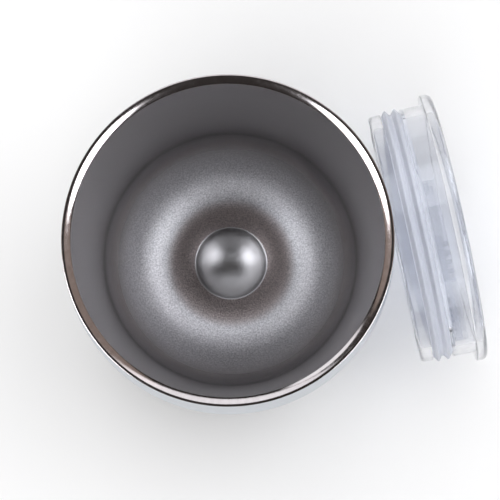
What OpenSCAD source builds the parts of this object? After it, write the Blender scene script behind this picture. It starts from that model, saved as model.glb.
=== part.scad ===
// Double-walled steel tumbler with its clear press-in lid, which stands on edge beside it.
// The cup stands on z = 0 with its axis on the Z axis. Every length is in millimetres.

/* [Cup body] */
// Overall height of the cup
cup_h = 112; // [105:1:125]
// Outer radius at the rim
rim_r = 38.5; // [38.2:0.1:39.5]
// Outer radius at the widest point of the body
belly_r = 43.4; // [42:0.1:45]
// Height of the widest point of the body
belly_z = 43; // [38:1:50]
// Radius at the seam between the shell and the bottom pan
seam_r = 34.5; // [33:0.5:36]
// Height of that seam
seam_z = 5; // [4:0.5:7]
// Thickness of the steel sheet
wall = 0.6; // [0.4:0.1:0.8]

/* [Inside of the cup] */
// Radius of the straight inner wall and of the mouth
mouth_r = 36.4; // [36.2:0.1:36.6]
// Height of the floor's lowest ring
floor_z = 12; // [11:0.5:14]
// Radius of that ring, from which one arc sweeps up to the wall
trough_r = 13.6; // [12:0.2:16]
// Radius of the arc by which the floor rises from the ring towards the dome
hill_r = 21; // [16:1:26]
// Radius at which the dome's foot runs into the floor
dome_r = 11.1; // [9:0.1:11.5]
// Slope of the dome just above its foot, in degrees
dome_slope = 35; // [25:1:40]

/* [Rim] */
// Height of the polished rim bead
rim_h = 1.6; // [1.2:0.1:2]
// Radius of the bead's inner edge
rim_edge_r = 0.15; // [0.1:0.05:0.25]

/* [Bottom] */
// Radius of the recess in the bottom pan
recess_r = 24.4; // [22:0.2:25]
// Depth of that recess, which a soft foot pad fills
recess_h = 1.9; // [1.6:0.1:2.4]

/* [Lid] */
// Outer radius of the lid's flange
flange_r = 38.7; // [38.5:0.1:39.5]
// Thickness of the flange
flange_h = 3.2; // [3:0.1:5]
// Overall height of the lid from the plug's lower edge to the flange's top
lid_h = 18.6; // [18:0.2:21]
// Radius of the neck just under the flange
neck_r = 36.1; // [35.8:0.1:36.1]
// Outer radius of the ring under the gasket
plug_r = 35.9; // [35.6:0.1:35.9]
// Outer radius of the gasket's fins
fin_r = 36.6; // [36.5:0.1:37.3]
// Height of the deck's upper face, where the slider runs
deck_z = 10.2; // [9.6:0.2:11]
// Thickness of the lid's plastic
lid_wall = 2; // [1.6:0.1:2.4]

/* [Slider] */
// Width of the slider plate
slider_w = 19; // [16:1:20]
// Travel of the slider from shut to open
slider_travel = 13; // [10:1:14]

/* [Lid's place beside the cup] */
// Direction in which the lid's axis points, seen from above
lid_turn = 12; // [8:1:16]
// Angle by which the top of the lid leans towards the cup
lid_lean = 7; // [6:0.5:8]
// Distance of the plug's lower face from the cup's axis, along the lid's axis
lid_reach = 47.2; // [47.2:0.1:52]
// Sideways offset of the lid's axis from the cup's axis
lid_side = -4.5; // [-6:0.5:0]

/* [Hidden] */
$fn = 96;
eps = 0.01;
arc_steps = 16;

// Points along an arc, from angle a0 to angle a1
function arc(cx, cy, r, a0, a1, steps = arc_steps) = [
    for (i = [0:steps]) let (a = a0 + (a1 - a0) * i / steps) [cx + r * cos(a), cy + r * sin(a)]
];
function reversed(list) = [for (i = [len(list) - 1:-1:0]) list[i]];
// Radius of the arc that starts upright and has moved in by dr after a height of dz
function sweep_radius(dz, dr) = (dz * dz + dr * dr) / (2 * dr);

bead_z = cup_h - rim_h;

// Body outline: one long arc up to the rim and one down to the seam, both upright at the belly
upper_radius = sweep_radius(bead_z - belly_z, belly_r - rim_r);
lower_radius = sweep_radius(belly_z - seam_z, belly_r - seam_r);
upper_angle = asin((bead_z - belly_z) / upper_radius);
lower_angle = asin((belly_z - seam_z) / lower_radius);
function shell_line(inset) = concat(
    arc(belly_r - upper_radius, belly_z, upper_radius - inset, upper_angle, 0),
    arc(belly_r - lower_radius, belly_z, lower_radius - inset, 0, -lower_angle)
);

// Bottom corner: carries the slope of the seam on down to the flat foot
foot_radius = seam_z / (1 - sin(lower_angle));
foot_x = seam_r - foot_radius * cos(lower_angle);

// Bowl: a gentle rise round the dome, and a quarter arc from the lowest ring up to the straight wall
corner_r = mouth_r - trough_r;
wall_z = floor_z + corner_r;
hill_angle = asin((trough_r - dome_r) / hill_r);
function bowl_line(out) = concat(
    arc(trough_r, floor_z + hill_r, hill_r + out, -90 - hill_angle, -90, 6),
    arc(trough_r, wall_z, corner_r + out, -90, 0, 32)
);

// Dome, with a small hollow round at its foot that runs into the floor
fillet_r = 1;
cap_r = dome_r - fillet_r * (sin(dome_slope) - sin(hill_angle));
dome_radius = cap_r / sin(dome_slope);
cap_z = floor_z + hill_r * (1 - cos(hill_angle)) + fillet_r * (cos(hill_angle) - cos(dome_slope));
dome_z = cap_z + dome_radius * (1 - cos(dome_slope));
function dome_line(out) = concat(
    arc(0, dome_z - dome_radius, dome_radius - out, 90, 90 - dome_slope),
    arc(dome_r + fillet_r * sin(hill_angle), cap_z + fillet_r * cos(dome_slope), fillet_r + out,
        -90 - dome_slope, -90 - hill_angle, 6)
);

// Spins a half profile, drawn with x as the radius, about the Z axis
module spin(points) {
    rotate_extrude($fn = 180) polygon(points);
}

// ---- Cup ----

// Drawn outer wall, from the rim bead down to the bottom pan
module outer_shell() {
    color("lightsteelblue") spin(concat(shell_line(0), reversed(shell_line(wall))));
}

// Deep-drawn inner cup: straight wall, bowl and domed centre
module inner_liner() {
    drink_side = concat(dome_line(0), bowl_line(0), [[mouth_r, bead_z]]);
    gap_side = concat(dome_line(wall), bowl_line(wall), [[mouth_r + wall, bead_z]]);
    color("dimgray") spin(concat(drink_side, reversed(gap_side)));
}

// Welded and polished bead that joins the two walls at the rim: an inner bevel that rises outward,
// a low crown and a crisp outer edge
bevel_radius = 4.6;
bevel_slope = 20;
crown_radius = 1.2;
crown_fall = 12;
lip_radius = 0.1;
module rim_bead() {
    lip_x = rim_r - lip_radius;
    crown_x = lip_x - (crown_radius - lip_radius) * sin(crown_fall);
    crown_z = cup_h - crown_radius;
    lip_z = crown_z + (crown_radius - lip_radius) * cos(crown_fall);
    bevel_x = crown_x + (bevel_radius - crown_radius) * sin(bevel_slope);
    bevel_z = crown_z - (bevel_radius - crown_radius) * cos(bevel_slope);
    edge_x = mouth_r + rim_edge_r;
    edge_slope = asin((bevel_x - edge_x) / (bevel_radius - rim_edge_r));
    edge_z = bevel_z + (bevel_radius - rim_edge_r) * cos(edge_slope);
    color("silver") spin(concat(
        [[mouth_r, bead_z]],
        arc(edge_x, edge_z, rim_edge_r, 180, 90 + edge_slope, 6),
        arc(bevel_x, bevel_z, bevel_radius, 90 + edge_slope, 90 + bevel_slope, 6),
        arc(crown_x, crown_z, crown_radius, 90 + bevel_slope, 90 - crown_fall, 6),
        arc(lip_x, lip_z, lip_radius, 90 - crown_fall, 0, 4),
        [[rim_r, bead_z]]
    ));
}

// Thin metal foil wrapped round the liner inside the vacuum gap
foil_h = 64;
foil_t = 0.15;
foil_lift = 3;
module foil_wrap() {
    color("peru") translate([0, 0, wall_z + foil_lift]) difference() {
        cylinder(h = foil_h, r = mouth_r + wall + foil_t, $fn = 180);
        translate([0, 0, -eps]) cylinder(h = foil_h + 2 * eps, r = mouth_r + wall, $fn = 180);
    }
}

// Bottom pan welded to the shell: rounded corner, flat foot ring and recess
port_r = 1;
dimple_r = 5;
dimple_h = 1.4;
module outer_bottom() {
    outside = concat(
        arc(foot_x, foot_radius, foot_radius, -lower_angle, -90),
        [[recess_r, 0], [recess_r, recess_h], [dimple_r, recess_h],
         [dimple_r - dimple_h, recess_h + dimple_h], [port_r, recess_h + dimple_h]]
    );
    inside = concat(
        arc(foot_x, foot_radius, foot_radius - wall, -lower_angle, -90),
        [[recess_r + wall, wall], [recess_r + wall, recess_h + wall], [dimple_r + wall / 2, recess_h + wall],
         [dimple_r - dimple_h + wall / 2, recess_h + dimple_h + wall], [port_r, recess_h + dimple_h + wall]]
    );
    color("silver") spin(concat(outside, reversed(inside)));
}

// Soft pad, flush with the foot ring, that fills the recess and hides the evacuation port
pad_gap = 0.15;
module foot_pad() {
    color("dimgray") cylinder(h = recess_h, r = recess_r - pad_gap);
}

// Bead of glass solder that closes the evacuation port, in the dimple
seal_r = 2.6;
seal_h = 1.1;
module vacuum_seal() {
    color("darkslategray") translate([0, 0, recess_h + dimple_h - seal_h]) cylinder(h = seal_h, r = seal_r);
}

// Getter: a pellet that soaks up stray gas, under a welded strap
getter_x = 14;
pellet_r = 4;
pellet_h = 2.2;
strap_w = 5;
strap_t = 0.4;
strap_foot = 3;
getter_z = recess_h + wall;
module getter_pellet() {
    color("gray") translate([getter_x, 0, getter_z]) cylinder(h = pellet_h, r = pellet_r);
}
module getter_strap() {
    half = pellet_r + strap_t + 0.2;
    color("silver") translate([getter_x, 0, getter_z]) rotate([90, 0, 90])
        translate([0, 0, -strap_w / 2]) linear_extrude(strap_w) polygon([
            [-half - strap_foot, 0], [-half + strap_t, 0], [-half + strap_t, pellet_h], [half - strap_t, pellet_h],
            [half - strap_t, 0], [half + strap_foot, 0], [half + strap_foot, strap_t], [half, strap_t],
            [half, pellet_h + strap_t], [-half, pellet_h + strap_t], [-half, strap_t], [-half - strap_foot, strap_t]
        ]);
}

// ---- Lid, drawn upright with the plug's lower face on z = 0 ----

groove_z = 3.6;
groove_h = 5.6;
groove_r = 34.3;
well_r = 33.4;
plug_bore_r = groove_r - lid_wall;
plug_chamfer = 1;
flange_chamfer = 0.4;
flange_edge_r = 1.6;
flange_z = lid_h - flange_h;

// Slider run on the deck, along Y: the drinking port lies at the -Y end and the stop at the +Y end
run_gap = 0.3;
plate_h = 2.2;
plate_len = 29;
plate_y = -16.5;
port_y = -24;
port_w = 12;
port_d = 7;
vent_r = 1.2;
vent_y = 25;
rail_t = 1.6;
rail_lip = 1;
rail_len = 44;
rail_y = -8.5;
rail_h = plate_h + 2 * run_gap;

// Puts a lid part in its place: standing on the flange's edge, leaning on the cup
module on_edge() {
    edge_z = flange_z + flange_chamfer;
    drop = flange_r * cos(lid_lean) - edge_z * sin(lid_lean);
    rotate([0, 0, lid_turn]) translate([lid_reach, lid_side, drop]) rotate([0, 90 - lid_lean, 0]) children();
}

// Upright slot with round ends, long along X
module slot(length, width, height) {
    linear_extrude(height) union() {
        translate([(length - width) / 2, 0]) circle(width / 2);
        translate([(width - length) / 2, 0]) circle(width / 2);
        square([length - width, width], center = true);
    }
}

// Guide rail with a lip that holds the slider's edge down; side is 1 or -1
module rail(side) {
    inner_x = slider_w / 2 + run_gap;
    mirror([side < 0 ? 1 : 0, 0, 0]) translate([0, rail_y - rail_len / 2, deck_z - eps]) {
        translate([inner_x, 0, 0]) cube([rail_t, rail_len, rail_h + rail_lip + eps]);
        translate([inner_x - run_gap - rail_lip, 0, rail_h + eps])
            cube([rail_lip + run_gap + eps, rail_len, rail_lip]);
    }
}

// Clear moulded lid: plug ring, gasket groove, neck, flange, the deck inside and the slider's rails
module lid_body() {
    stop_y = plate_y + plate_len / 2 + slider_travel + run_gap;
    color("aliceblue", 0.5) on_edge() union() {
        difference() {
            spin(concat(
                [[plug_bore_r, 0], [plug_r - plug_chamfer, 0], [plug_r, plug_chamfer], [plug_r, groove_z],
                 [groove_r, groove_z], [groove_r, groove_z + groove_h], [neck_r, groove_z + groove_h],
                 [neck_r, flange_z], [flange_r - flange_chamfer, flange_z], [flange_r, flange_z + flange_chamfer]],
                arc(flange_r - flange_edge_r, lid_h - flange_edge_r, flange_edge_r, 0, 90, 8),
                [[well_r, lid_h], [well_r, deck_z], [0, deck_z], [0, deck_z - lid_wall],
                 [plug_bore_r, deck_z - lid_wall]]
            ));
            translate([0, port_y, deck_z - lid_wall - eps]) slot(port_w, port_d, lid_wall + 2 * eps);
            translate([0, vent_y, deck_z - lid_wall - eps]) cylinder(h = lid_wall + 2 * eps, r = vent_r);
        }
        for (side = [-1, 1]) rail(side);
        translate([-slider_w / 2, stop_y, deck_z - eps]) cube([slider_w, rail_t, plate_h + eps]);
    }
}

// Soft ring in the groove, with two broad fins that seal against the mouth
fin_root_r = 35.3;
fin_root_t = 2.2;
fin_tip_t = 1;
fin_pitch = 2.8;
fin_z = [for (side = [-1, 1]) groove_z + groove_h / 2 + side * fin_pitch / 2];
groove_gap = 0.1;
module lid_gasket() {
    color("lavender") on_edge() spin(concat(
        [[groove_r, groove_z + groove_gap], [fin_root_r, groove_z + groove_gap]],
        [for (z = fin_z) each [
            [fin_root_r, z - fin_root_t / 2], [fin_r, z - fin_tip_t / 2],
            [fin_r, z + fin_tip_t / 2], [fin_root_r, z + fin_root_t / 2]
        ]],
        [[fin_root_r, groove_z + groove_h - groove_gap], [groove_r, groove_z + groove_h - groove_gap]]
    ));
}

// Seat of the soft pad in the underside of the slider
seal_pad_w = 15;
seal_pad_d = 10;
seal_pad_h = 1.2;
seal_pad_lift = 0.1;
module pad_shape(height) {
    translate([0, port_y, 0]) slot(seal_pad_w, seal_pad_d, height);
}

// Thumb slider that runs between the rails, with ribs across its rear half
rib_count = 5;
rib_w = 1.2;
rib_pitch = 2.6;
rib_h = 1.4;
rib_inset = 2.5;
rib_margin = 3;
module slider() {
    seat_h = seal_pad_h + seal_pad_lift - run_gap;
    rib_y = plate_y + plate_len / 2 - rib_margin;
    color("azure", 0.6) on_edge() translate([0, 0, deck_z + run_gap]) difference() {
        union() {
            translate([-slider_w / 2, plate_y - plate_len / 2, 0]) cube([slider_w, plate_len, plate_h]);
            for (i = [0:rib_count - 1])
                translate([-slider_w / 2 + rib_inset, rib_y - rib_pitch * i, plate_h - eps])
                    cube([slider_w - 2 * rib_inset, rib_w, rib_h + eps]);
        }
        translate([0, 0, -eps]) pad_shape(seat_h + eps);
    }
}

// Soft pad under the slider's front end that shuts the drinking port
module slider_seal() {
    color("mistyrose") on_edge() translate([0, 0, deck_z + seal_pad_lift]) pad_shape(seal_pad_h);
}

outer_shell();
inner_liner();
rim_bead();
foil_wrap();
outer_bottom();
foot_pad();
vacuum_seal();
getter_pellet();
getter_strap();
lid_body();
lid_gasket();
slider();
slider_seal();
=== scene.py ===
"""Double-walled steel tumbler with its clear press-in lid, which stands on edge beside it.

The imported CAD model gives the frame. Finely turned pieces replace the CAD solids that show, and
every piece gets a procedural material. Soft lamps light the scene: some light the floor alone, some
the rim alone, some the steel and the lid without the rim, and four light all but the floor.
Lengths are in millimetres up to the point where a mesh is made, which is in metres. The floor's
size, the lamps' sizes and places and the camera's place are given in metres.
"""
import math

import bmesh
import bpy
from mathutils import Matrix, Vector


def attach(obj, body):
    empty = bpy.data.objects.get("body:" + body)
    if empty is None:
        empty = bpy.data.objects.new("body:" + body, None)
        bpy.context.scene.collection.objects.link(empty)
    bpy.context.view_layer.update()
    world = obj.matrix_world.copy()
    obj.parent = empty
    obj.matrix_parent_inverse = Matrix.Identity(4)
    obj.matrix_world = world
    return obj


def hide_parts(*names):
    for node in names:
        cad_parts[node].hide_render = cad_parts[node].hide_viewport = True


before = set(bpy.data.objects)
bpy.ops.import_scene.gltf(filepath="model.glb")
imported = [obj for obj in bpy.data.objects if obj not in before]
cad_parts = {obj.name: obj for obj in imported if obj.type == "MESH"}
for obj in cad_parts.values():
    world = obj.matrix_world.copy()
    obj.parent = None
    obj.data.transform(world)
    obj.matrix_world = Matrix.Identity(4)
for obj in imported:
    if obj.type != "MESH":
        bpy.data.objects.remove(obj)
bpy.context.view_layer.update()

MM = 0.001
TURNS = 256
ON_AXIS = 1e-6
BEVEL_STEPS = 3
SLOT_STEPS = 24

# ---- Cup: the driving sizes of the CAD model ----

cup_h = 112
rim_r = 38.5
rim_h = 1.6
bead_z = cup_h - rim_h
belly_r = 43.4
belly_z = 43
seam_r = 34.5
seam_z = 5
wall = 0.6
mouth_r = 36.4
floor_z = 12
trough_r = 13.6
hill_r = 21
dome_r = 11.1
dome_slope = 35
fillet_r = 1
recess_r = 24.4
recess_h = 1.9

# ---- Lid, drawn upright with the plug's lower face at height 0 ----

flange_r = 38.7
flange_h = 3.2
lid_h = 18.6
neck_r = 36.1
plug_r = 35.9
fin_r = 36.6
deck_z = 10.2
lid_wall = 2
groove_z = 3.6
groove_h = 5.6
groove_r = 34.3
well_r = 33.4
flange_z = lid_h - flange_h
lid_turn = 12
lid_lean = 7
lid_reach = 47.2
lid_side = -4.5

slider_w = 19
slider_travel = 13
run_gap = 0.3
plate_h = 2.2
plate_len = 29
plate_y = -16.5
port_y = -24
port_w = 12
port_d = 7
vent_r = 1.2
vent_y = 25
rail_t = 1.6
rail_lip = 1
rail_len = 44
rail_y = -8.5
rail_h = plate_h + 2 * run_gap


# ---- Mesh tools ----

def arc(cx, cy, radius, start, end, steps=16):
    """Points along an arc from one angle to another, in degrees."""
    angles = [math.radians(start + (end - start) * i / steps) for i in range(steps + 1)]
    return [(cx + radius * math.cos(a), cy + radius * math.sin(a)) for a in angles]


def sweep_radius(height, inward):
    """Radius of the arc that starts upright and has moved inward by that much at that height."""
    return (height ** 2 + inward ** 2) / (2 * inward)


def spin(profile):
    """Mesh of a closed half profile of (radius, height) turned about the Z axis."""
    mesh = bmesh.new()
    rings = []
    for radius, height in profile:
        if radius < ON_AXIS:
            rings.append([mesh.verts.new((0, 0, height * MM))] * TURNS)
            continue
        ring = []
        for k in range(TURNS):
            a = math.tau * k / TURNS
            spot = (radius * MM * math.cos(a), radius * MM * math.sin(a), height * MM)
            ring.append(mesh.verts.new(spot))
        rings.append(ring)
    for low, high in zip(rings, rings[1:] + rings[:1]):
        if low[0] is low[1] and high[0] is high[1]:
            continue
        for k in range(TURNS):
            corners = [low[k], low[(k + 1) % TURNS], high[(k + 1) % TURNS], high[k]]
            mesh.faces.new(list(dict.fromkeys(corners)))
    bmesh.ops.recalc_face_normals(mesh, faces=mesh.faces)
    return mesh


def block(low, high, edge=0.0):
    """Mesh of a box between two corners; edge over 0 is the radius its edges are rounded to."""
    mesh = bmesh.new()
    bmesh.ops.create_cube(mesh, size=1)
    for v in mesh.verts:
        spot = [(low[i] + high[i]) / 2 + v.co[i] * (high[i] - low[i]) for i in range(3)]
        v.co = Vector(spot) * MM
    if edge:
        bmesh.ops.bevel(
            mesh, geom=mesh.edges[:], offset=edge * MM, segments=BEVEL_STEPS, profile=0.5, affect="EDGES"
        )
    return mesh


def slot_prism(length, width, y, low, high):
    """Mesh of an upright slot with round ends, long along X; length is more than width."""
    mesh = bmesh.new()
    half = (length - width) / 2
    outline = arc(half, y, width / 2, -90, 90, SLOT_STEPS)
    outline += arc(-half, y, width / 2, 90, 270, SLOT_STEPS)
    base = mesh.faces.new([mesh.verts.new((px * MM, py * MM, low * MM)) for px, py in outline])
    lifted = bmesh.ops.extrude_face_region(mesh, geom=[base])
    tops = [item for item in lifted["geom"] if isinstance(item, bmesh.types.BMVert)]
    bmesh.ops.translate(mesh, verts=tops, vec=(0, 0, (high - low) * MM))
    bmesh.ops.recalc_face_normals(mesh, faces=mesh.faces)
    return mesh


def link_object(name, mesh):
    """Blender object of a bmesh."""
    data = bpy.data.meshes.new(name)
    mesh.to_mesh(data)
    mesh.free()
    obj = bpy.data.objects.new(name, data)
    bpy.context.scene.collection.objects.link(obj)
    return obj


def combine(obj, tool_mesh, operation):
    """Adds tool_mesh to obj, or cuts it out of obj, for good."""
    tool = link_object("tool", tool_mesh)
    cut = obj.modifiers.new("cut", "BOOLEAN")
    cut.operation = operation
    cut.solver = "EXACT"
    cut.object = tool
    graph = bpy.context.evaluated_depsgraph_get()
    data = bpy.data.meshes.new_from_object(obj.evaluated_get(graph))
    obj.modifiers.clear()
    obj.data = data
    bpy.data.objects.remove(tool)


def finish_piece(obj, material, body, slot, *nodes, place=None, crease=30):
    """Places and shades a piece, ties it to its body and hides the CAD nodes it stands for.

    Edges sharper than crease, in degrees, stay sharp.
    """
    if place:
        obj.data.transform(place)
    obj.data.materials.clear()
    obj.data.materials.append(material)
    obj.data.shade_smooth()
    obj.data.set_sharp_from_angle(angle=math.radians(crease))
    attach(obj, body)
    if nodes:
        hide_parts(*nodes)
    return obj


# ---- Materials ----

STEEL_DETAIL = 3.0
MATTE_DETAIL = 4.0
PLASTIC_DETAIL = 1.0
PLASTIC_CLOUDS = 160.0
CLOUD_DIMMING = 0.985
CLOUD_ROUGHNESS = (0.8, 1.2)
NOISE_BAND = (0.3, 0.7)


def start_material(name, **values):
    """New material and its Principled shader, with values set on the shader's own sockets."""
    material = bpy.data.materials.new(name)
    material.use_nodes = True
    shader = material.node_tree.nodes["Principled BSDF"]
    for key, value in values.items():
        shader.inputs[key.replace("_", " ")].default_value = value
    return material, shader


def object_noise(material, scale, detail):
    """Noise over the object's own space; scale is in features per metre."""
    nodes = material.node_tree.nodes
    where = nodes.new("ShaderNodeTexCoord")
    noise = nodes.new("ShaderNodeTexNoise")
    noise.inputs["Scale"].default_value = scale
    noise.inputs["Detail"].default_value = detail
    material.node_tree.links.new(where.outputs["Object"], noise.inputs["Vector"])
    return noise.outputs["Fac"]


def ranged(material, factor, low, high):
    """factor's middle band, NOISE_BAND, spread from low to high."""
    spread = material.node_tree.nodes.new("ShaderNodeMapRange")
    spread.inputs["From Min"].default_value = NOISE_BAND[0]
    spread.inputs["From Max"].default_value = NOISE_BAND[1]
    spread.inputs["To Min"].default_value = low
    spread.inputs["To Max"].default_value = high
    material.node_tree.links.new(factor, spread.inputs["Value"])
    return spread.outputs["Result"]


def add_bump(material, shader, factor, height):
    """Fine relief from factor, with its height in millimetres."""
    bump = material.node_tree.nodes.new("ShaderNodeBump")
    bump.inputs["Strength"].default_value = 1.0
    bump.inputs["Distance"].default_value = height * MM
    material.node_tree.links.new(factor, bump.inputs["Height"])
    material.node_tree.links.new(bump.outputs["Normal"], shader.inputs["Normal"])


def add_tint(material, shader, factor, dark, light):
    """Base colour that wanders between two colours with factor."""
    mix = material.node_tree.nodes.new("ShaderNodeMix")
    mix.data_type = "RGBA"
    mix.inputs["A"].default_value = (*dark, 1)
    mix.inputs["B"].default_value = (*light, 1)
    material.node_tree.links.new(ranged(material, factor, 0, 1), mix.inputs["Factor"])
    material.node_tree.links.new(mix.outputs["Result"], shader.inputs["Base Color"])


def grained(name, metallic, dark, light, rough, grain, relief, detail):
    """Material with a fine grain in its colour and its relief, and in its roughness if rough is given."""
    material, shader = start_material(name, Metallic=metallic)
    factor = object_noise(material, grain, detail)
    add_tint(material, shader, factor, dark, light)
    if rough:
        material.node_tree.links.new(ranged(material, factor, *rough), shader.inputs["Roughness"])
    add_bump(material, shader, factor, relief)
    return material


def metal(name, dark, light, rough, grain, relief):
    """Steel or foil: grain is in features per metre and relief in millimetres."""
    return grained(name, 1.0, dark, light, rough, grain, relief, STEEL_DETAIL)


def matte(name, dark, light, rough, grain, relief):
    """Moulded or sintered stuff: grain is in features per metre and relief in millimetres."""
    return grained(name, 0.0, dark, light, rough, grain, relief, MATTE_DETAIL)


def height_ramp(material, low_z, high_z, low, high):
    """Value that changes smoothly from low to high between two heights of the object."""
    nodes, links = material.node_tree.nodes, material.node_tree.links
    where = nodes.new("ShaderNodeTexCoord")
    split = nodes.new("ShaderNodeSeparateXYZ")
    links.new(where.outputs["Object"], split.inputs["Vector"])
    change = nodes.new("ShaderNodeMapRange")
    change.interpolation_type = "SMOOTHSTEP"
    change.inputs["From Min"].default_value = low_z * MM
    change.inputs["From Max"].default_value = high_z * MM
    change.inputs["To Min"].default_value = low
    change.inputs["To Max"].default_value = high
    links.new(split.outputs["Z"], change.inputs["Value"])
    return change.outputs["Result"]


def blend_color(material, factor, color, how="MIX"):
    """Blends a colour into the base colour by factor."""
    links = material.node_tree.links
    base = material.node_tree.nodes["Principled BSDF"].inputs["Base Color"]
    mix = material.node_tree.nodes.new("ShaderNodeMix")
    mix.data_type = "RGBA"
    mix.blend_type = how
    links.new(factor, mix.inputs["Factor"])
    links.new(base.links[0].from_socket, mix.inputs["A"])
    mix.inputs["B"].default_value = (*color, 1)
    links.new(mix.outputs["Result"], base)


def clear_plastic(name, color, rough, ior, passes, transmission):
    """Clear or milky plastic. Lamps shine through it, dimmed to the colour passes."""
    material, shader = start_material(name, Transmission_Weight=transmission, IOR=ior)
    nodes, links = material.node_tree.nodes, material.node_tree.links
    factor = object_noise(material, PLASTIC_CLOUDS, PLASTIC_DETAIL)
    add_tint(material, shader, factor, [c * CLOUD_DIMMING for c in color], color)
    roughness = ranged(material, factor, *[rough * share for share in CLOUD_ROUGHNESS])
    links.new(roughness, shader.inputs["Roughness"])
    light_path = nodes.new("ShaderNodeLightPath")
    through = nodes.new("ShaderNodeBsdfTransparent")
    through.inputs["Color"].default_value = (*passes, 1)
    mix = nodes.new("ShaderNodeMixShader")
    links.new(light_path.outputs["Is Shadow Ray"], mix.inputs["Fac"])
    links.new(shader.outputs["BSDF"], mix.inputs[1])
    links.new(through.outputs["BSDF"], mix.inputs[2])
    links.new(mix.outputs["Shader"], nodes["Material Output"].inputs["Surface"])
    return material


bowl_steel = metal(
    "bowl_steel", (0.52, 0.51, 0.52), (0.94, 0.93, 0.94), rough=None, grain=2300.0, relief=0.08
)
dome_steel = metal(
    "dome_steel", (0.68, 0.67, 0.67), (0.70, 0.69, 0.69), rough=(0.30, 0.31), grain=900.0, relief=0.0001
)
rim_steel = metal(
    "rim_steel", (0.52, 0.47, 0.455), (0.58, 0.53, 0.515), rough=(0.12, 0.17), grain=900.0, relief=0.0005
)
shell_steel = metal(
    "shell_steel", (0.47, 0.50, 0.54), (0.53, 0.56, 0.60), rough=(0.28, 0.36), grain=1500.0, relief=0.003
)
foil_metal = metal(
    "foil_metal", (0.74, 0.58, 0.46), (0.82, 0.68, 0.56), rough=(0.15, 0.3), grain=300.0, relief=0.02
)
strap_steel = metal(
    "strap_steel", (0.52, 0.52, 0.53), (0.6, 0.6, 0.6), rough=(0.2, 0.3), grain=900.0, relief=0.003
)
pad_rubber = matte(
    "pad_rubber", (0.028, 0.028, 0.03), (0.04, 0.04, 0.042), rough=(0.55, 0.7), grain=1800.0, relief=0.02
)
solder_glass = matte(
    "solder_glass", (0.02, 0.028, 0.028), (0.03, 0.04, 0.04), rough=(0.12, 0.2), grain=500.0, relief=0.01
)
getter_metal = matte(
    "getter_metal", (0.10, 0.10, 0.105), (0.16, 0.16, 0.17), rough=(0.7, 0.9), grain=2500.0, relief=0.03
)
lid_plastic = clear_plastic(
    "lid_plastic", (0.86, 0.865, 0.885), 0.045, 1.5, passes=(0.79, 0.795, 0.81), transmission=0.94
)
slider_plastic = clear_plastic(
    "slider_plastic", (0.83, 0.84, 0.87), 0.05, 1.5, passes=(0.76, 0.77, 0.795), transmission=0.93
)
gasket_silicone = clear_plastic(
    "gasket_silicone", (0.78, 0.785, 0.815), 0.4, 1.41, passes=(0.76, 0.765, 0.785), transmission=0.65
)

# Round the dome the bowl has a painted dark brown reflection of the dark space over the cup, and it turns
# darker and smoother towards the straight wall. Its roughness goes by height alone.
dark_reflection_z = (floor_z + 0.1, floor_z + 1)
dark_reflection_share = 0.75
wall_blend_z = (floor_z + 3, floor_z + 15)
wall_roughness = (0.37, 0.25)
# Painted dark reflection: brown multiplied into the base colour on the flat floor round the dome
blend_color(
    bowl_steel, height_ramp(bowl_steel, *dark_reflection_z, dark_reflection_share, 0), (0.56, 0.45, 0.41), how="MULTIPLY"
)
blend_color(bowl_steel, height_ramp(bowl_steel, *wall_blend_z, 0, 1), (0.40, 0.39, 0.39))
bowl_steel.node_tree.links.new(
    height_ramp(bowl_steel, *wall_blend_z, *wall_roughness),
    bowl_steel.node_tree.nodes["Principled BSDF"].inputs["Roughness"],
)


# ---- Cup ----

upper_radius = sweep_radius(bead_z - belly_z, belly_r - rim_r)
lower_radius = sweep_radius(belly_z - seam_z, belly_r - seam_r)
upper_angle = math.degrees(math.asin((bead_z - belly_z) / upper_radius))
lower_angle = math.degrees(math.asin((belly_z - seam_z) / lower_radius))


def shell_line(inset):
    """Body outline from the rim bead down to the seam: two arcs, both upright at the belly."""
    high = arc(belly_r - upper_radius, belly_z, upper_radius - inset, upper_angle, 0, 48)
    low = arc(belly_r - lower_radius, belly_z, lower_radius - inset, 0, -lower_angle, 32)
    return high + low[1:]


corner_r = mouth_r - trough_r
hill_angle = math.degrees(math.asin((trough_r - dome_r) / hill_r))
hill_turn, dome_turn = math.radians(hill_angle), math.radians(dome_slope)
cap_r = dome_r - fillet_r * (math.sin(dome_turn) - math.sin(hill_turn))
dome_radius = cap_r / math.sin(dome_turn)
hill_rise = hill_r * (1 - math.cos(hill_turn))
cap_z = floor_z + hill_rise + fillet_r * (math.cos(hill_turn) - math.cos(dome_turn))
dome_z = cap_z + dome_radius * (1 - math.cos(dome_turn))


def bowl_line(out):
    """Gentle rise round the dome, then a quarter arc up to the wall; out moves the line outward."""
    rise = arc(trough_r, floor_z + hill_r, hill_r + out, -90 - hill_angle, -90, 12)
    return rise[:-1] + arc(trough_r, floor_z + corner_r, corner_r + out, -90, 0, 96)


def dome_line(out):
    """Dome from its top down to the small hollow round where it meets the floor; out moves it down."""
    cx = dome_r + fillet_r * math.sin(hill_turn)
    cz = cap_z + fillet_r * math.cos(dome_turn)
    cap = arc(0, dome_z - dome_radius, dome_radius - out, 90, 90 - dome_slope, 40)
    return cap[:-1] + arc(cx, cz, fillet_r + out, -90 - dome_slope, -90 - hill_angle, 12)[:-1]


outer_shell = link_object("cup_shell", spin(shell_line(0) + shell_line(wall)[::-1]))
finish_piece(outer_shell, shell_steel, "cup", "outer_steel", "outer_shell")

drink_side = dome_line(0) + bowl_line(0) + [(mouth_r, bead_z)]
gap_side = dome_line(wall) + bowl_line(wall) + [(mouth_r + wall, bead_z)]
liner = link_object("cup_liner", spin(drink_side + gap_side[::-1]))
finish_piece(liner, bowl_steel, "cup", "inner_steel", "inner_liner", crease=12)
liner.data.materials.append(dome_steel)
for face in liner.data.polygons:
    if face.center.xy.length < dome_r * MM and face.normal.z > 0:
        face.material_index = 1

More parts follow.
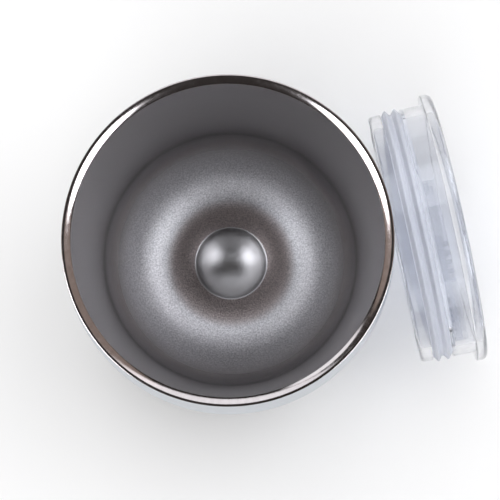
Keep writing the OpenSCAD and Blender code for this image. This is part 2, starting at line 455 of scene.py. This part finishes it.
rim_edge_r = 0.15
bevel_radius = 4.6
bevel_slope = 20
crown_radius = 1.2
crown_fall = 12
lip_radius = 0.1


def rim_profile():
    """Rim bead: an inner bevel that rises outward, a low crown and a crisp outer edge."""
    fall, slope = math.radians(crown_fall), math.radians(bevel_slope)
    lip_x = rim_r - lip_radius
    crown_x = lip_x - (crown_radius - lip_radius) * math.sin(fall)
    crown_z = cup_h - crown_radius
    lip_z = crown_z + (crown_radius - lip_radius) * math.cos(fall)
    bevel_x = crown_x + (bevel_radius - crown_radius) * math.sin(slope)
    bevel_z = crown_z - (bevel_radius - crown_radius) * math.cos(slope)
    edge_x = mouth_r + rim_edge_r
    reach = bevel_radius - rim_edge_r
    edge_slope = math.asin((bevel_x - edge_x) / reach)
    edge_z = bevel_z + reach * math.cos(edge_slope)
    edge_turn = 90 + math.degrees(edge_slope)
    return (
        [(mouth_r, bead_z)]
        + arc(edge_x, edge_z, rim_edge_r, 180, edge_turn, 8)
        + arc(bevel_x, bevel_z, bevel_radius, edge_turn, 90 + bevel_slope, 14)[1:]
        + arc(crown_x, crown_z, crown_radius, 90 + bevel_slope, 90 - crown_fall, 14)[1:]
        + arc(lip_x, lip_z, lip_radius, 90 - crown_fall, 0, 8)[1:]
        + [(rim_r, bead_z)]
    )


rim = link_object("cup_rim", spin(rim_profile()))
finish_piece(rim, rim_steel, "cup", "polished_rim", "rim_bead", crease=40)

foot_radius = seam_z / (1 - math.sin(math.radians(lower_angle)))
foot_x = seam_r - foot_radius * math.cos(math.radians(lower_angle))
port_r = 1
dimple_r = 5
dimple_h = 1.4


def pan_line(inset):
    """Bottom pan from the seam round the foot and into the recess and the dimple."""
    side = inset / 2
    return arc(foot_x, foot_radius, foot_radius - inset, -lower_angle, -90, 24) + [
        (recess_r + inset, inset),
        (recess_r + inset, recess_h + inset),
        (dimple_r + side, recess_h + inset),
        (dimple_r - dimple_h + side, recess_h + dimple_h + inset),
        (port_r, recess_h + dimple_h + inset),
    ]


pan = link_object("cup_bottom", spin(pan_line(0) + pan_line(wall)[::-1]))
finish_piece(pan, shell_steel, "cup", "outer_steel", "outer_bottom")

pad_round = 0.3
pad_gap = 0.15
pad_edge = recess_r - pad_gap
pad_line = [(0, 0)] + arc(pad_edge - pad_round, pad_round, pad_round, -90, 0, 6)
pad_line += [(pad_edge, recess_h), (0, recess_h)]
foot_pad = link_object("foot_pad_disc", spin(pad_line))
finish_piece(foot_pad, pad_rubber, "cup", "soft_pad", "foot_pad")

for node, material in (
    ("foil_wrap", foil_metal),
    ("vacuum_seal", solder_glass),
    ("getter_pellet", getter_metal),
    ("getter_strap", strap_steel),
):
    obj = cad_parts[node]
    obj.data.materials.clear()
    obj.data.materials.append(material)


# ---- Lid ----

bore_chamfer = 0.3
plug_edge_r = 1
flange_low_r = 0.4
flange_edge_r = 1.6
well_edge_r = 0.5

# The lid stands on the edge where the flange's low rounding ends
rest_z = flange_z + flange_low_r
lean = math.radians(lid_lean)
drop = flange_r * math.cos(lean) - rest_z * math.sin(lean)
on_edge = (
    Matrix.Rotation(math.radians(lid_turn), 4, "Z")
    @ Matrix.Translation(Vector((lid_reach, lid_side, drop)) * MM)
    @ Matrix.Rotation(math.radians(90 - lid_lean), 4, "Y")
)

plug_bore_r = groove_r - lid_wall
groove_top = groove_z + groove_h
deck_low = deck_z - lid_wall
lid_line = (
    [(plug_bore_r, bore_chamfer), (plug_bore_r + bore_chamfer, 0)]
    + arc(plug_r - plug_edge_r, plug_edge_r, plug_edge_r, -90, 0, 8)
    + [(plug_r, groove_z), (groove_r, groove_z), (groove_r, groove_top)]
    + [(neck_r, groove_top), (neck_r, flange_z)]
    + arc(flange_r - flange_low_r, rest_z, flange_low_r, -90, 0, 6)
    + arc(flange_r - flange_edge_r, lid_h - flange_edge_r, flange_edge_r, 0, 90, 12)
    + arc(well_r + well_edge_r, lid_h - well_edge_r, well_edge_r, 90, 180, 6)
    + [(well_r, deck_z), (0, deck_z), (0, deck_low), (plug_bore_r, deck_low)]
)
lid = link_object("lid_clear", spin(lid_line))

# A cut runs overcut past the faces it opens, the rails and the stop sink in by bite, and a round hole
# is a slot that is slot_seam longer than it is wide
overcut = 1
bite = 0.01
slot_seam = 0.001
port_cut = slot_prism(port_w, port_d, port_y, deck_low - overcut, deck_z + overcut)
combine(lid, port_cut, "DIFFERENCE")
vent_w = 2 * vent_r
vent_cut = slot_prism(vent_w + slot_seam, vent_w, vent_y, deck_low - overcut, deck_z + overcut)
combine(lid, vent_cut, "DIFFERENCE")

rail_inner = slider_w / 2 + run_gap
rail_low, rail_high = rail_y - rail_len / 2, rail_y + rail_len / 2
rail_top = deck_z + rail_h + rail_lip
for side in (-1, 1):
    web = sorted((side * rail_inner, side * (rail_inner + rail_t)))
    lip = sorted((side * (rail_inner - run_gap - rail_lip), side * (rail_inner + bite)))
    for (left, right), bottom in ((web, deck_z - bite), (lip, deck_z + rail_h)):
        combine(lid, block((left, rail_low, bottom), (right, rail_high, rail_top)), "UNION")
stop_y = plate_y + plate_len / 2 + slider_travel + run_gap
stop_low = (-slider_w / 2, stop_y, deck_z - bite)
stop_high = (slider_w / 2, stop_y + rail_t, deck_z + plate_h)
combine(lid, block(stop_low, stop_high), "UNION")
finish_piece(lid, lid_plastic, "lid", "clear_plastic", "lid_body", place=on_edge, crease=35)

fin_root_r = 35.3
fin_root_t = 2.2
fin_round = 0.45
fin_turn = 70
fin_pitch = 2.8
groove_gap = 0.1
seat_gap = 0.05
seat_r = groove_r + seat_gap
fin_mid = groove_z + groove_h / 2
gasket_line = [(seat_r, groove_z + groove_gap), (fin_root_r, groove_z + groove_gap)]
for z in (fin_mid - fin_pitch / 2, fin_mid + fin_pitch / 2):
    gasket_line += [(fin_root_r, z - fin_root_t / 2)]
    gasket_line += arc(fin_r - fin_round, z, fin_round, -fin_turn, fin_turn, 10)
    gasket_line += [(fin_root_r, z + fin_root_t / 2)]
gasket_line += [(fin_root_r, groove_top - groove_gap), (seat_r, groove_top - groove_gap)]
gasket = link_object("lid_gasket_ring", spin(gasket_line))
finish_piece(gasket, gasket_silicone, "lid", "clear_silicone", "lid_gasket", place=on_edge)

slider_edge_r = 0.35
rib_edge_r = 0.3
rib_count = 5
rib_w = 1.2
rib_pitch = 2.6
rib_h = 1.4
rib_inset = 2.5
rib_margin = 3
rib_sunk = 0.5
seal_pad_w = 15
seal_pad_d = 10
seal_pad_h = 1.2
seal_pad_lift = 0.1
plate_z = deck_z + run_gap
plate_top = plate_z + plate_h
seal_top = deck_z + seal_pad_lift + seal_pad_h
plate_low = (-slider_w / 2, plate_y - plate_len / 2, plate_z)
plate_high = (slider_w / 2, plate_y + plate_len / 2, plate_top)
slider = link_object("slider_plate", block(plate_low, plate_high, slider_edge_r))
for i in range(rib_count):
    rib_y = plate_y + plate_len / 2 - rib_margin - rib_pitch * i
    rib_low = (-slider_w / 2 + rib_inset, rib_y, plate_top - rib_sunk)
    rib_high = (slider_w / 2 - rib_inset, rib_y + rib_w, plate_top + rib_h)
    combine(slider, block(rib_low, rib_high, rib_edge_r), "UNION")
seat_cut = slot_prism(seal_pad_w, seal_pad_d, port_y, plate_z - overcut, seal_top)
combine(slider, seat_cut, "DIFFERENCE")
finish_piece(slider, slider_plastic, "slider", "clear_slider", "slider", place=on_edge, crease=35)

pad_solid = slot_prism(seal_pad_w, seal_pad_d, port_y, deck_z + seal_pad_lift, seal_top)
pad = link_object("slider_pad", pad_solid)
finish_piece(pad, gasket_silicone, "slider", "clear_silicone", "slider_seal", place=on_edge)


# ---- Floor, lights and camera ----

FLOOR_HALF = 2.0
FLOOR_CLOUDS = 6.0
FLOOR_DETAIL = 2.0
floor_paint, floor_shader = start_material("floor_paint", Roughness=0.7)
floor_noise = object_noise(floor_paint, FLOOR_CLOUDS, FLOOR_DETAIL)
add_tint(floor_paint, floor_shader, floor_noise, (0.86, 0.86, 0.865), (0.88, 0.88, 0.885))
floor_mesh = bmesh.new()
bmesh.ops.create_grid(floor_mesh, x_segments=1, y_segments=1, size=FLOOR_HALF)
studio_floor = link_object("studio_floor", floor_mesh)
studio_floor.data.materials.append(floor_paint)

LAMP_REACH = 0.8
LAMP_TARGET = Vector((0, 0, 0.11))
WHITE = (1, 1, 1)
COOL = (0.9, 0.935, 1.0)
WARM = (1.0, 0.82, 0.74)


def light_group(name, state, *objects):
    """Collection by which a lamp lights these objects alone (INCLUDE) or all but them (EXCLUDE)."""
    group = bpy.data.collections.new(name)
    for obj in objects:
        group.objects.link(obj)
    for member in group.collection_objects:
        member.light_linking.link_state = state
    return group


floor_only = light_group("floor_only", "INCLUDE", studio_floor)
all_but_floor = light_group("all_but_floor", "EXCLUDE", studio_floor)
rim_only = light_group("rim_only", "INCLUDE", rim)
steel_and_lid = light_group("steel_and_lid", "EXCLUDE", studio_floor, rim)


def softbox(name, azimuth, zenith, width, power, color, lights=all_but_floor):
    """Round lamp that looks at the cup's mouth from an azimuth and a zenith angle."""
    lamp = bpy.data.lights.new(name, "AREA")
    lamp.shape = "DISK"
    lamp.size = width
    lamp.energy = power
    lamp.color = color
    obj = bpy.data.objects.new(name, lamp)
    bpy.context.scene.collection.objects.link(obj)
    a, t = math.radians(azimuth), math.radians(zenith)
    towards = Vector((math.sin(t) * math.cos(a), math.sin(t) * math.sin(a), math.cos(t)))
    obj.location = LAMP_TARGET + towards * LAMP_REACH
    obj.rotation_euler = (-towards).to_track_quat("-Z", "Y").to_euler()
    obj.visible_camera = False
    obj.light_linking.receiver_collection = lights


softbox("front_left", 207, 46, 0.54, 5.9, COOL)
softbox("front_right", 333, 46, 0.50, 4.5, COOL)
softbox("back", 90, 41, 0.66, 1.6, COOL)
softbox("low_left", 127, 66, 0.42, 0.7, COOL)
softbox("left", 180, 46, 0.60, 2.0, COOL, steel_and_lid)
softbox("right", 0, 60, 0.60, 0.4, COOL, steel_and_lid)
softbox("key", 45, 64, 0.50, 4.2, COOL, steel_and_lid)
softbox("upper_left", 140, 50, 0.50, 1.7, COOL, steel_and_lid)
softbox("front", 272, 50, 0.60, 0.6, COOL, steel_and_lid)
softbox("low_front", 290, 66, 0.42, 0.6, COOL, steel_and_lid)
softbox("high_back", 85, 20, 0.36, 0.05, COOL, steel_and_lid)
softbox("rim_left", 180, 50, 0.70, 0.4, WARM, rim_only)
softbox("rim_right", 30, 50, 0.90, 0.6, WARM, rim_only)
softbox("floor_top", 330, 20, 1.9, 2.2, WHITE, floor_only)
softbox("floor_left", 135, 24, 0.6, 2.1, WHITE, floor_only)
softbox("floor_back", 90, 22, 0.6, 2.0, WHITE, floor_only)
softbox("floor_right", 20, 30, 0.6, 2.2, WHITE, floor_only)
softbox("floor_front", 238, 24, 0.6, 3.8, WHITE, floor_only)

world = bpy.data.worlds.new("studio")
bpy.context.scene.world = world
world.use_nodes = True
world.node_tree.nodes["Background"].inputs["Color"].default_value = (1, 0.9, 0.86, 1)
world.node_tree.nodes["Background"].inputs["Strength"].default_value = 0.04

camera_data = bpy.data.cameras.new("camera")
camera = bpy.data.objects.new("camera", camera_data)
bpy.context.scene.collection.objects.link(camera)
bpy.context.scene.camera = camera
camera_data.sensor_width = 36
camera_data.lens = 95.5
camera_data.clip_start = 0.01
camera.location = (0.0030, -0.0227, 0.4173)
camera.rotation_euler = (math.radians(3.78), math.radians(-0.39), 0)

scene = bpy.context.scene
scene.view_settings.view_transform = "Standard"
scene.cycles.max_bounces = 24
scene.cycles.transmission_bounces = 20
scene.cycles.glossy_bounces = 10
scene.cycles.caustics_reflective = False
